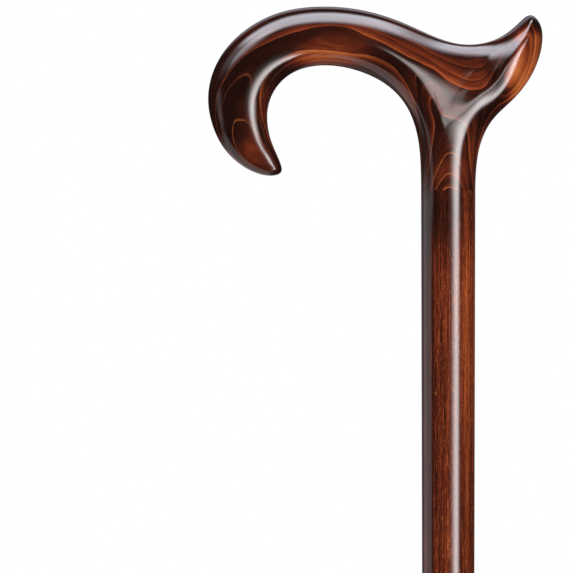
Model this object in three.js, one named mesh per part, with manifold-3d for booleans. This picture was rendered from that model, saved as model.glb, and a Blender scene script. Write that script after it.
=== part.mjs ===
// A walking cane with a derby handle: a carved hardwood handle, flush on a tapered hardwood shaft and held
// to it by a glued dowel, with a rubber ferrule that pulls off over the shaft's lower end.
// Millimetres. Z is up and runs along the shaft, the foot stands on z = 0, the hook points to -X and the
// tail to +X.
import * as THREE from "three";
import { mergeVertices } from "three/addons/utils/BufferGeometryUtils.js";
import Module from "manifold-3d";

const wasm = await Module();
wasm.setup();

// Whole cane
const caneHeight = 915;

// Handle
const crownHeight = 69.1; // from the joint up to the top of the handle
const hookReach = 89.5; // from the shaft's axis to the outside of the hook
const tailReach = 35.3; // from the shaft's axis to the end of the tail
const palmWidth = 25; // front to back where the palm rests
const waistDepth = 3.5; // how far front and back are each drawn in between the palm and the tail
const waistPlace = 11.5; // beside the shaft's axis
const waistPalmReach = 20; // how far it runs out towards the palm
const waistTailReach = 8.5;
const waistFadeShares = [0.33, 0.66]; // of the crown's height, where it fades away downwards

// Shaft
const shaftTopDiameter = 20.3;
const shaftTipDiameter = 16;
const shaftTipChamfer = 0.8;

// Dowel hidden in the joint
const dowelDiameter = 10;
const dowelLength = 70;
const dowelChamfer = 1;
const fluteCount = 12;
const fluteDepth = 0.45;
const fluteSharpness = 6; // how narrow a flute is beside the land between two
const glueGap = 0.3; // all round the dowel
const dowelEndRoom = 1.5; // air left past each end of the dowel
const drillPointHeight = 2.4; // cone that the drill leaves at the end of its hole

// Ferrule
const ferruleHeight = 36;
const ferruleFloor = 7; // rubber under the washer, treads included
const ferruleWall = 3.3;
const ferruleGap = 0.3; // between the rubber and the shaft
const mouthBead = 1; // how far the rolled mouth stands out from the wall
const beadHeight = 4.6;
const mouthChamfer = 0.7;
const footFlare = 3.6; // how far the foot stands out from the wall
const footHeight = 4.2;
const footRound = 1.1;
const flareHeight = 7; // the hollow curve that leads from the foot to the wall
const ribCount = 3; // raised rings round the wall
const ribWidth = 1.5;
const ribHeight = 0.45;
const ribPitch = 3.4;
const treadCount = 3; // round grooves in the sole
const treadWidth = 1.5;
const treadPitch = 3.5;
const treadDepth = 1.4;

// Steel washer on the ferrule's floor
const washerThickness = 1.2;
const washerRound = 0.25;

// Fineness of the surfaces
const handleStations = 90; // sections along the handle
const sectionSteps = 18; // steps over the front of one section
const turnedSides = 2 * sectionSteps; // so that the shaft's sides meet the handle's
const arcSteps = 4;
const stepsPerFlute = 8;
const outlineSteps = 600;
const bendWeight = 7; // sections close up where the outline bends, as if each radian were this long
const cutOverrun = 1; // how far a cutting tool runs past the face it cuts

// Places that follow from the sizes
const jointHeight = caneHeight - crownHeight;
const neckRadius = shaftTopDiameter / 2;
const washerTop = ferruleFloor + washerThickness;
const shaftRadiusAt = (height) =>
  THREE.MathUtils.mapLinear(height, washerTop, jointHeight, shaftTipDiameter / 2, neckRadius);
const dowelHoleRadius = dowelDiameter / 2 + glueGap;
const dowelHoleDepth = dowelLength / 2 + dowelEndRoom;

// A point of the handle's outline, as shares: how far it lies from the neck's side towards the end of the
// hook or of the tail, how high it is on the handle, how wide the outline's edge is rolled there, and the
// power by which that roll runs out: 2 leaves the surface smooth, less leaves a soft arris.
const hookSide = (outShare, upShare, rollShare, runOut = 2) => [
  -(neckRadius + outShare * (hookReach - neckRadius)),
  upShare * crownHeight,
  rollShare * palmWidth,
  runOut,
];
const tailSide = (outShare, upShare, rollShare, runOut = 2) => [
  neckRadius + outShare * (tailReach - neckRadius),
  upShare * crownHeight,
  rollShare * palmWidth,
  runOut,
];
const neckSide = (side) => [side * neckRadius, 0, neckRadius, 2];

// The outline seen from the front: up the neck's hook side, round the inside of the hook to its tip, back
// over the crown and the saddle to the tail's tip, and down the tail to the neck again.
const insidePoints = [
  neckSide(-1),
  hookSide(0.004, 0.181, 0.42),
  hookSide(0.022, 0.325, 0.45),
  hookSide(0.074, 0.471, 0.48),
  hookSide(0.177, 0.589, 0.48),
  hookSide(0.312, 0.659, 0.46),
  hookSide(0.446, 0.683, 0.44),
  hookSide(0.571, 0.66, 0.46),
  hookSide(0.667, 0.584, 0.49),
  hookSide(0.718, 0.468, 0.46),
  hookSide(0.722, 0.36, 0.41),
  hookSide(0.702, 0.262, 0.34),
  hookSide(0.664, 0.158, 0.2),
];
const hookTipPoint = hookSide(0.659, 0.104, 0.12);
const topPoints = [
  hookSide(0.71, 0.084, 0.15),
  hookSide(0.818, 0.121, 0.25),
  hookSide(0.927, 0.232, 0.34),
  hookSide(0.99, 0.39, 0.42),
  hookSide(1, 0.55, 0.46),
  hookSide(0.95, 0.718, 0.49),
  hookSide(0.835, 0.866, 0.49),
  hookSide(0.665, 0.968, 0.46),
  hookSide(0.462, 1, 0.44),
  hookSide(0.26, 0.976, 0.46),
  hookSide(0.071, 0.906, 0.6),
  hookSide(-0.089, 0.826, 0.74),
  tailSide(-0.079, 0.795, 0.74, 1.9),
  tailSide(0.353, 0.832, 0.5, 1.6),
  tailSide(0.651, 0.913, 0.3, 1.3),
];
const tailTipPoint = tailSide(0.814, 0.953, 0.2, 1.15);
const tailPoints = [
  tailSide(0.948, 0.915, 0.36, 1.6),
  tailSide(0.999, 0.821, 0.52),
  tailSide(0.889, 0.666, 0.6),
  tailSide(0.606, 0.514, 0.66),
  tailSide(0.278, 0.396, 0.7),
  tailSide(0.092, 0.273, 0.52),
  tailSide(0.021, 0.148, 0.43),
  neckSide(1),
];

// Where a section that starts at a share of the outer outline, from the hook's tip, ends on the inside one.
const sectionEndShares = [
  [0, 0],
  [0.047, 0.048],
  [0.129, 0.152],
  [0.22, 0.286],
  [0.326, 0.393],
  [0.469, 0.535],
  [0.58, 0.67],
  [0.65, 0.75],
  [0.71, 0.82],
  [0.8, 0.88],
  [0.87, 0.92],
  [0.93, 0.955],
  [1, 1],
];

// Half the handle's thickness, as a share of the palm's, at shares of the outer outline: beside the inside
// outline and beside the outer one.
const innerCrestShares = [
  [0, 0.265],
  [0.05, 0.43],
  [0.1, 0.55],
  [0.17, 0.68],
  [0.27, 0.845],
  [0.38, 0.975],
  [0.46, 1.016],
  [0.54, 0.965],
  [0.62, 0.915],
  [0.75, 0.865],
];
const outerCrestShares = [
  [0, 0.265],
  [0.05, 0.43],
  [0.1, 0.55],
  [0.17, 0.68],
  [0.27, 0.845],
  [0.38, 0.965],
  [0.46, 0.976],
  [0.54, 0.925],
  [0.62, 0.915],
  [0.68, 0.945],
  [0.74, 0.955],
  [0.82, 0.925],
  [0.88, 0.875],
];
const crestBlendShares = [0.25, 0.8]; // across a section, where the one crest gives way to the other
const ridgeSharpness = 2.5; // how crisply two rolled edges meet

// A cubic spline through values at knots, with continuous curvature. Its end slopes are given, or left
// free.
function smoothSpline(knots, values, startSlope, endSlope) {
  const count = knots.length;
  const size = values[0].length;
  const gap = (i) => knots[i + 1] - knots[i];
  const rise = (i, c) => (values[i + 1][c] - values[i][c]) / gap(i);
  const slopes = values.map(() => new Array(size));
  for (let c = 0; c < size; c++) {
    const above = new Array(count);
    const right = new Array(count);
    above[0] = startSlope ? 0 : 1 / 2;
    right[0] = startSlope ? startSlope[c] : (3 / 2) * rise(0, c);
    for (let i = 1; i < count; i++) {
      const last = i === count - 1;
      let row = [1, 2, 0, 3 * rise(i - 1, c)];
      if (last && endSlope) row = [0, 1, 0, endSlope[c]];
      if (!last) {
        const load = 3 * (gap(i) * rise(i - 1, c) + gap(i - 1) * rise(i, c));
        row = [gap(i), 2 * (gap(i) + gap(i - 1)), gap(i - 1), load];
      }
      const [before, self, after, load] = row;
      const pivot = self - before * above[i - 1];
      above[i] = after / pivot;
      right[i] = (load - before * right[i - 1]) / pivot;
    }
    slopes[count - 1][c] = right[count - 1];
    for (let i = count - 2; i >= 0; i--) slopes[i][c] = right[i] - above[i] * slopes[i + 1][c];
  }
  return (knot) => {
    let i = knots.findIndex((k) => k > knot) - 1;
    if (i < 0) i = knot < knots[0] ? 0 : count - 2;
    const t = (knot - knots[i]) / gap(i);
    return values[i].map(
      (value, c) =>
        value * (1 + 2 * t) * (1 - t) ** 2 +
        values[i + 1][c] * t * t * (3 - 2 * t) +
        gap(i) * (slopes[i][c] * t * (1 - t) ** 2 + slopes[i + 1][c] * t * t * (t - 1)),
    );
  };
}

// The value of a table of [share, value] pairs at a share, joined smoothly.
function tableCurve(pairs, level) {
  const ends = level ? [[0], [0]] : [];
  const curve = smoothSpline(pairs.map((pair) => pair[0]), pairs.map((pair) => [pair[1]]), ...ends);
  return (share) => curve(share)[0];
}

// The handle's whole outline as one smooth curve, cut at the two tips into its three edges. Each edge is a
// run of [x, z, roll, runOut] samples.
function handleEdges() {
  const points = [...insidePoints, hookTipPoint, ...topPoints, tailTipPoint, ...tailPoints];
  const chord = (i) => Math.hypot(points[i][0] - points[i - 1][0], points[i][1] - points[i - 1][1]);
  const knots = [0];
  for (let i = 1; i < points.length; i++) knots.push(knots[i - 1] + Math.sqrt(chord(i)));
  const last = points.length - 1;
  const upright = (i) => chord(i) / Math.sqrt(chord(i));
  const outline = smoothSpline(knots, points, [0, upright(1), 0, 0], [0, -upright(last), 0, 0]);
  const between = (first, end) => {
    const steps = Math.ceil((outlineSteps * (knots[end] - knots[first])) / knots[last]);
    const samples = [];
    for (let i = 0; i <= steps; i++) {
      samples.push(outline(THREE.MathUtils.lerp(knots[first], knots[end], i / steps)));
    }
    return samples;
  };
  const hookTip = insidePoints.length;
  const tailTip = hookTip + 1 + topPoints.length;
  return {
    inside: between(0, hookTip).reverse(),
    top: between(hookTip, tailTip),
    tail: between(tailTip, last),
  };
}

function lengthsAlong(samples) {
  const lengths = [0];
  for (let i = 1; i < samples.length; i++) {
    const [ax, az] = samples[i - 1];
    const [bx, bz] = samples[i];
    lengths.push(lengths[i - 1] + Math.hypot(bx - ax, bz - az));
  }
  return lengths;
}

// The sample at a share of a run's length.
function sampleAt(samples, lengths, share) {
  const target = share * lengths[lengths.length - 1];
  const next = Math.max(1, lengths.findIndex((length) => length >= target));
  if (lengths[next] === undefined || share >= 1) return samples[samples.length - 1];
  const part = (target - lengths[next - 1]) / (lengths[next] - lengths[next - 1]);
  return samples[next].map((value, c) => THREE.MathUtils.lerp(samples[next - 1][c], value, part));
}

// How much of the crest's thickness the rolled edge takes away at a point: 1 on the edge, 0 past its roll.
function edgeDrop(x, z, samples) {
  let nearest = Infinity;
  let roll = 1;
  let runOut = 1;
  for (let i = 1; i < samples.length; i++) {
    const [ax, az, aRoll, aRunOut] = samples[i - 1];
    const [bx, bz, bRoll, bRunOut] = samples[i];
    const lengthSquared = (bx - ax) ** 2 + (bz - az) ** 2;
    const along = ((x - ax) * (bx - ax) + (z - az) * (bz - az)) / lengthSquared;
    const part = THREE.MathUtils.clamp(along, 0, 1);
    const away = [x - THREE.MathUtils.lerp(ax, bx, part), z - THREE.MathUtils.lerp(az, bz, part)];
    const distance = Math.hypot(...away);
    if (distance < nearest) {
      nearest = distance;
      roll = THREE.MathUtils.lerp(aRoll, bRoll, part);
      runOut = THREE.MathUtils.lerp(aRunOut, bRunOut, part);
    }
  }
  return (1 - Math.min(1, nearest / roll)) ** runOut;
}

// How far the waist draws the surface in at a point.
function waistAt(x, z) {
  const aside = x - waistPlace;
  const reach = aside < 0 ? waistPalmReach : waistTailReach;
  const above = THREE.MathUtils.smoothstep(z / crownHeight, ...waistFadeShares);
  return waistDepth * above * Math.exp(-((aside / reach) ** 2));
}

// The front half's thickness at a point: the crest's, less what the rolled edges take, with a soft ridge
// where two of them meet. Each edge alone leaves an ellipse.
function frontDepth(x, z, crest, edges) {
  let odds = 0;
  for (const samples of Object.values(edges)) {
    const drop = edgeDrop(x, z, samples);
    if (drop >= 1) return 0;
    odds += (drop / (1 - drop)) ** ridgeSharpness;
  }
  return crest / Math.sqrt(1 + odds ** (1 / ridgeSharpness));
}

// Shares along a run, close together where it bends.
function stationShares(samples, lengths) {
  const reach = [0];
  for (let i = 1; i < samples.length - 1; i++) {
    const [a, b, c] = [samples[i - 1], samples[i], samples[i + 1]];
    const cross = (b[0] - a[0]) * (c[1] - b[1]) - (b[1] - a[1]) * (c[0] - b[0]);
    const along = (b[0] - a[0]) * (c[0] - b[0]) + (b[1] - a[1]) * (c[1] - b[1]);
    const turn = Math.abs(Math.atan2(cross, along));
    reach.push(reach[i - 1] + lengths[i] - lengths[i - 1] + bendWeight * turn);
  }
  reach.push(reach.at(-1) + lengths.at(-1) - lengths.at(-2));
  const shares = [];
  for (let station = 1; station <= handleStations; station++) {
    const target = (reach.at(-1) * station) / handleStations;
    const found = station === handleStations ? -1 : reach.findIndex((value) => value >= target);
    const next = found < 0 ? reach.length - 1 : Math.max(1, found);
    const part = found < 0 ? 1 : (target - reach[next - 1]) / (reach[next] - reach[next - 1]);
    shares.push(THREE.MathUtils.lerp(lengths[next - 1], lengths[next], part) / lengths.at(-1));
  }
  return shares;
}

// The carved handle: sections that fan from the inside outline to the outer one, each closed front and back,
// lofted from the hook's tip round to the round neck.
function handleGeometry() {
  const edges = handleEdges();
  const outer = [...edges.top, ...edges.tail.slice(1)];
  const outerLengths = lengthsAlong(outer);
  const insideLengths = lengthsAlong(edges.inside);
  const sectionEnd = tableCurve(sectionEndShares);
  const halfPalm = palmWidth / 2;
  const neckShare = neckRadius / halfPalm;
  const innerCrest = tableCurve([...innerCrestShares, [1, neckShare]], true);
  const outerCrest = tableCurve([...outerCrestShares, [1, neckShare]], true);

  const positions = [hookTipPoint[0], 0, hookTipPoint[1]];
  for (const share of stationShares(outer, outerLengths)) {
    const to = sampleAt(outer, outerLengths, share);
    const from = sampleAt(edges.inside, insideLengths, share === 1 ? 1 : sectionEnd(share));
    const ringSteps = 2 * sectionSteps;
    for (let step = 0; step < ringSteps; step++) {
      const across = (1 - Math.cos((Math.PI * step) / sectionSteps)) / 2;
      const x = THREE.MathUtils.lerp(from[0], to[0], across);
      const z = THREE.MathUtils.lerp(from[1], to[1], across);
      const blend = THREE.MathUtils.smoothstep(across, ...crestBlendShares);
      const crestShare = THREE.MathUtils.lerp(innerCrest(share), outerCrest(share), blend);
      const crest = halfPalm * crestShare - waistAt(x, z);
      const onEdge = step % sectionSteps === 0;
      const depth = onEdge ? 0 : frontDepth(x, z, crest, edges);
      positions.push(x, step < sectionSteps ? -depth : depth, z);
    }
  }
  const centre = positions.length / 3;
  positions.push(0, 0, 0);

  const ringSize = 2 * sectionSteps;
  const vertex = (station, step) => 1 + station * ringSize + (step % ringSize);
  const triangles = [];
  for (let step = 0; step < ringSize; step++) {
    triangles.push(0, vertex(0, step), vertex(0, step + 1));
    for (let station = 1; station < handleStations; station++) {
      const [a, b] = [vertex(station - 1, step), vertex(station - 1, step + 1)];
      const [c, d] = [vertex(station, step), vertex(station, step + 1)];
      triangles.push(a, c, b, b, c, d);
    }
    triangles.push(centre, vertex(handleStations - 1, step + 1), vertex(handleStations - 1, step));
  }
  const geometry = new THREE.BufferGeometry();
  geometry.setAttribute("position", new THREE.Float32BufferAttribute(positions, 3));
  geometry.setIndex(triangles);
  return geometry;
}

// A turned solid from a profile of [radius, height] points, standing on the Z axis.
function turned(profile, sides = turnedSides) {
  const points = profile.map(([radius, height]) => new THREE.Vector2(radius, height));
  return new THREE.LatheGeometry(points, sides).rotateX(Math.PI / 2);
}

// A quarter round from one profile point to another: it leaves along the radius, or along the height.
function quarterRound(from, to, leavesAlongRadius) {
  const points = [];
  for (let i = 0; i <= arcSteps; i++) {
    const angle = (Math.PI / 2) * (i / arcSteps);
    const [radiusPart, heightPart] = leavesAlongRadius
      ? [Math.sin(angle), 1 - Math.cos(angle)]
      : [1 - Math.cos(angle), Math.sin(angle)];
    points.push([
      THREE.MathUtils.lerp(from[0], to[0], radiusPart),
      THREE.MathUtils.lerp(from[1], to[1], heightPart),
    ]);
  }
  return points;
}

// The wood that a drill takes out for half the dowel, from the joint's plane at z = 0 upwards.
function dowelHole() {
  return turned([
    [0, -cutOverrun],
    [dowelHoleRadius, -cutOverrun],
    [dowelHoleRadius, dowelHoleDepth],
    [0, dowelHoleDepth + drillPointHeight],
  ]);
}

function solidOf(geometry) {
  const bare = geometry.clone();
  bare.deleteAttribute("normal");
  bare.deleteAttribute("uv");
  const merged = mergeVertices(bare);
  return new wasm.Manifold(
    new wasm.Mesh({
      numProp: 3,
      vertProperties: merged.attributes.position.array,
      triVerts: new Uint32Array(merged.index.array),
    }),
  );
}

function geometryOf(solid) {
  const mesh = solid.getMesh();
  const geometry = new THREE.BufferGeometry();
  geometry.setAttribute("position", new THREE.BufferAttribute(mesh.vertProperties, 3));
  geometry.setIndex(new THREE.BufferAttribute(mesh.triVerts, 1));
  geometry.computeVertexNormals();
  return geometry;
}

function drilledHandle() {
  return geometryOf(solidOf(handleGeometry()).subtract(solidOf(dowelHole())));
}

// The tapered shaft, chamfered at its lower end and drilled for the dowel at its upper one.
function shaftGeometry() {
  const tip = shaftRadiusAt(washerTop);
  const holeBottom = jointHeight - dowelHoleDepth;
  return turned([
    [0, washerTop],
    [tip - shaftTipChamfer, washerTop],
    [shaftRadiusAt(washerTop + shaftTipChamfer), washerTop + shaftTipChamfer],
    [neckRadius, jointHeight],
    [dowelHoleRadius, jointHeight],
    [dowelHoleRadius, holeBottom],
    [0, holeBottom - drillPointHeight],
  ]);
}

// A fluted dowel pin with chamfered ends, its middle at the origin.
function dowelGeometry() {
  const radius = dowelDiameter / 2 - dowelChamfer;
  const depth = dowelLength - 2 * dowelChamfer;
  const steps = fluteCount * stepsPerFlute;
  const outline = [];
  for (let i = 0; i < steps; i++) {
    const angle = (2 * Math.PI * i) / steps;
    const groove = fluteDepth * ((1 + Math.cos(fluteCount * angle)) / 2) ** fluteSharpness;
    outline.push(new THREE.Vector2(radius - groove, 0).rotateAround(new THREE.Vector2(), angle));
  }
  const pin = new THREE.ExtrudeGeometry(new THREE.Shape(outline), {
    depth,
    bevelThickness: dowelChamfer,
    bevelSize: dowelChamfer,
    bevelSegments: 1,
  });
  return pin.translate(0, 0, -depth / 2);
}

// The rubber ferrule: a ribbed cup with a flared, treaded foot and a rolled mouth, on a bore that follows the
// shaft's taper. The profile runs out along the sole, up the outside and down the bore.
function ferruleGeometry() {
  const boreAt = (height) => shaftRadiusAt(height) + ferruleGap;
  const wall = boreAt(ferruleFloor) + ferruleWall;
  const foot = wall + footFlare;
  const flareTop = footHeight + flareHeight;
  const bead = wall + mouthBead;
  const beadRadius = beadHeight / 2;
  const beadMiddle = ferruleHeight - beadRadius;
  const mouth = boreAt(ferruleHeight);

  const profile = [[0, 0]];
  for (let tread = 1; tread <= treadCount; tread++) {
    const middle = treadPitch * tread;
    profile.push([middle - treadWidth / 2, 0], [middle - treadWidth / 4, treadDepth]);
    profile.push([middle + treadWidth / 4, treadDepth], [middle + treadWidth / 2, 0]);
  }
  profile.push(...quarterRound([foot - footRound, 0], [foot, footRound], true));
  profile.push(...quarterRound([foot, footHeight - footRound], [foot - footRound, footHeight], false));
  profile.push(...quarterRound([foot - footRound, footHeight], [wall, flareTop], true).slice(1));
  for (let rib = 0; rib < ribCount; rib++) {
    const bottom = flareTop + ribPitch * (rib + 1 / 2);
    profile.push([wall, bottom], [wall + ribHeight, bottom + ribWidth / 4]);
    profile.push([wall + ribHeight, bottom + (ribWidth * 3) / 4], [wall, bottom + ribWidth]);
  }
  profile.push(...quarterRound([wall, beadMiddle - beadRadius], [bead, beadMiddle], true));
  profile.push(...quarterRound([bead, beadMiddle], [bead - beadRadius, ferruleHeight], false).slice(1));
  profile.push([mouth + mouthChamfer, ferruleHeight], [mouth, ferruleHeight - mouthChamfer]);
  profile.push([boreAt(ferruleFloor), ferruleFloor], [0, ferruleFloor]);
  return turned(profile);
}

// The steel disc that keeps the shaft from punching through the rubber.
function washerGeometry() {
  const radius = shaftTipDiameter / 2;
  return turned([
    [0, ferruleFloor],
    [radius - washerRound, ferruleFloor],
    [radius, ferruleFloor + washerRound],
    [radius, washerTop - washerRound],
    [radius - washerRound, washerTop],
    [0, washerTop],
  ]);
}

const carvedWood = new THREE.MeshStandardMaterial({ color: 0x4a1d10, roughness: 0.18, metalness: 0 });
const turnedWood = new THREE.MeshStandardMaterial({ color: 0x52240f, roughness: 0.2, metalness: 0 });
const plainWood = new THREE.MeshStandardMaterial({ color: 0xc59a63, roughness: 0.7, metalness: 0 });
const rubber = new THREE.MeshStandardMaterial({ color: 0x161616, roughness: 0.75, metalness: 0 });
const steel = new THREE.MeshStandardMaterial({ color: 0xb4b6b8, roughness: 0.35, metalness: 1 });

function piece(name, geometry, material) {
  const mesh = new THREE.Mesh(geometry, material);
  mesh.name = name;
  return mesh;
}

const handle = piece("derby_handle", drilledHandle(), carvedWood);
const dowel = piece("joint_dowel", dowelGeometry(), plainWood);
const joint = new THREE.Group();
joint.add(handle, dowel);
joint.position.z = jointHeight;

const tip = new THREE.Group();
tip.add(piece("ferrule", ferruleGeometry(), rubber), piece("ferrule_washer", washerGeometry(), steel));

const cane = new THREE.Group();
cane.add(joint, piece("shaft", shaftGeometry(), turnedWood), tip);

export default cane;
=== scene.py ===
import math

import bpy
import numpy as np
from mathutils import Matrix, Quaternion, Vector


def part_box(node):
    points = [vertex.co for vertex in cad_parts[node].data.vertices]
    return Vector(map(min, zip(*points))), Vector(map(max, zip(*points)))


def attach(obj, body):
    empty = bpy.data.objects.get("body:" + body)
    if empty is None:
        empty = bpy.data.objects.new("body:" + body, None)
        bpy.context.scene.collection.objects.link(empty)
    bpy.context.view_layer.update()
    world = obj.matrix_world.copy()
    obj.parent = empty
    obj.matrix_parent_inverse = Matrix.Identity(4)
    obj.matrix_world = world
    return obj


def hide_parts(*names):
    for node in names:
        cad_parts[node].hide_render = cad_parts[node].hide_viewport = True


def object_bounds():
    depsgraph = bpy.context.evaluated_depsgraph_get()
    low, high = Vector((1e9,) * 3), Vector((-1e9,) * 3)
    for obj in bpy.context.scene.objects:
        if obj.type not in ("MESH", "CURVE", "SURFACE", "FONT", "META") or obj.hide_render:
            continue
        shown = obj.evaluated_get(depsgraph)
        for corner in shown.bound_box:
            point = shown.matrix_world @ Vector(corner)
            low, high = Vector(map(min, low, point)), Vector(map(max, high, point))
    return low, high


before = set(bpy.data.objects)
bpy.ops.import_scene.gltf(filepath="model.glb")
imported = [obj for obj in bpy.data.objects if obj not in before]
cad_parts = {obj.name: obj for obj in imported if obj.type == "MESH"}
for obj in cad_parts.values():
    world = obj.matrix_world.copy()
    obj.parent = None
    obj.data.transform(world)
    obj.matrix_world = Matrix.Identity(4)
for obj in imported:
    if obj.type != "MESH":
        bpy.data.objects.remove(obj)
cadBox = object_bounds()
print("frame loaded:", sorted(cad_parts))

millimetre = 0.001
tiny = 1e-9


# Working out curves and surfaces

def smoothSpline(knots, values, startSlope=None, endSlope=None):
    # Cubic pieces through the values whose slopes solve the equations that make the curvature continuous
    count = len(knots)
    gap = np.diff(knots)
    rise = np.diff(values, axis=0) / gap[:, None]
    rows = np.zeros((count, count))
    right = np.zeros_like(values)
    inner = np.arange(1, count - 1)
    rows[inner, inner - 1] = gap[1:]
    rows[inner, inner] = 2 * (gap[1:] + gap[:-1])
    rows[inner, inner + 1] = gap[:-1]
    right[1:-1] = 3 * (gap[1:, None] * rise[:-1] + gap[:-1, None] * rise[1:])
    for end, beside, chord, slope in ((0, 1, 0, startSlope), (-1, -2, -1, endSlope)):
        if slope is None:
            rows[end, end], rows[end, beside], right[end] = 2, 1, 3 * rise[chord]
        else:
            rows[end, end], right[end] = 1, slope
    slopes = np.linalg.solve(rows, right)

    def curve(where):
        where = np.asarray(where, float)
        i = np.clip(np.searchsorted(knots, where, side="right") - 1, 0, count - 2)
        h = gap[i][..., None]
        t = ((where - knots[i]) / gap[i])[..., None]
        return (values[i] * (1 + 2 * t) * (1 - t) ** 2 + values[i + 1] * t ** 2 * (3 - 2 * t)
                + h * (slopes[i] * t * (1 - t) ** 2 + slopes[i + 1] * t ** 2 * (t - 1)))

    return curve


def tableCurve(pairs, level=False):
    # A smooth curve through a table of (share, value) pairs, level at both ends if asked
    table = np.array(pairs, float)
    slope = np.zeros(1) if level else None
    curve = smoothSpline(table[:, 0], table[:, 1:], slope, slope)
    return lambda share: curve(share)[..., 0]


def smoothStep(low, high, value):
    t = np.clip((value - low) / (high - low), 0, 1)
    return t * t * (3 - 2 * t)


def turnedGrid(profile, around):
    # Each (radius, height) of the profile goes once round the Z axis: radius cos a, radius sin a, height
    angle = np.linspace(0, 2 * np.pi, around, endpoint=False)
    radius, height = np.array(profile).T[:, :, None]
    return np.stack([radius * np.cos(angle), radius * np.sin(angle), height + 0 * angle], axis=-1)


def arcPoints(start, end, levelFirst, steps):
    # A quarter of an ellipse between two profile points, level where it starts or where it ends
    angle = np.linspace(0, np.pi / 2, steps + 1)
    along, up = np.sin(angle), 1 - np.cos(angle)
    if not levelFirst:
        along, up = up, along
    return [(start[0] + (end[0] - start[0]) * a, start[1] + (end[1] - start[1]) * u)
            for a, u in zip(along, up)]


def skinMesh(name, grid, firstPole=None, lastPole=None, sharpAngle=None):
    # Rows of points that go round the piece, each joined to the next, with a fan to the pole at each end
    rows, around = grid.shape[:2]
    index = np.arange(rows * around).reshape(rows, around)
    a, c = index[:-1], index[1:]
    quads = np.stack([a, np.roll(a, -1, 1), np.roll(c, -1, 1), c], axis=-1).reshape(-1, 4)
    points = grid.reshape(-1, 3)
    faces = quads.tolist()
    for pole, row, order in ((firstPole, index[0], -1), (lastPole, index[-1], 1)):
        if pole is not None:
            fan = np.stack([row, np.roll(row, -1), np.full(around, len(points))], axis=-1)
            faces += fan[:, ::order].tolist()
            points = np.vstack([points, pole])
    middle = grid.reshape(-1, 3).mean(axis=0)
    corner = points[quads[:, :3]] - middle
    volume = np.einsum("ij,ij->i", corner[:, 0], np.cross(corner[:, 1], corner[:, 2])).sum()
    if volume < 0:
        faces = [face[::-1] for face in faces]
    mesh = bpy.data.meshes.new(name)
    mesh.from_pydata(points.tolist(), [], faces)
    mesh.polygons.foreach_set("use_smooth", np.ones(len(faces), bool))
    if sharpAngle:
        mesh.set_sharp_from_angle(angle=sharpAngle)
    mesh.update()
    piece = bpy.data.objects.new(name, mesh)
    bpy.context.collection.objects.link(piece)
    return piece


# The carved handle

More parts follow.
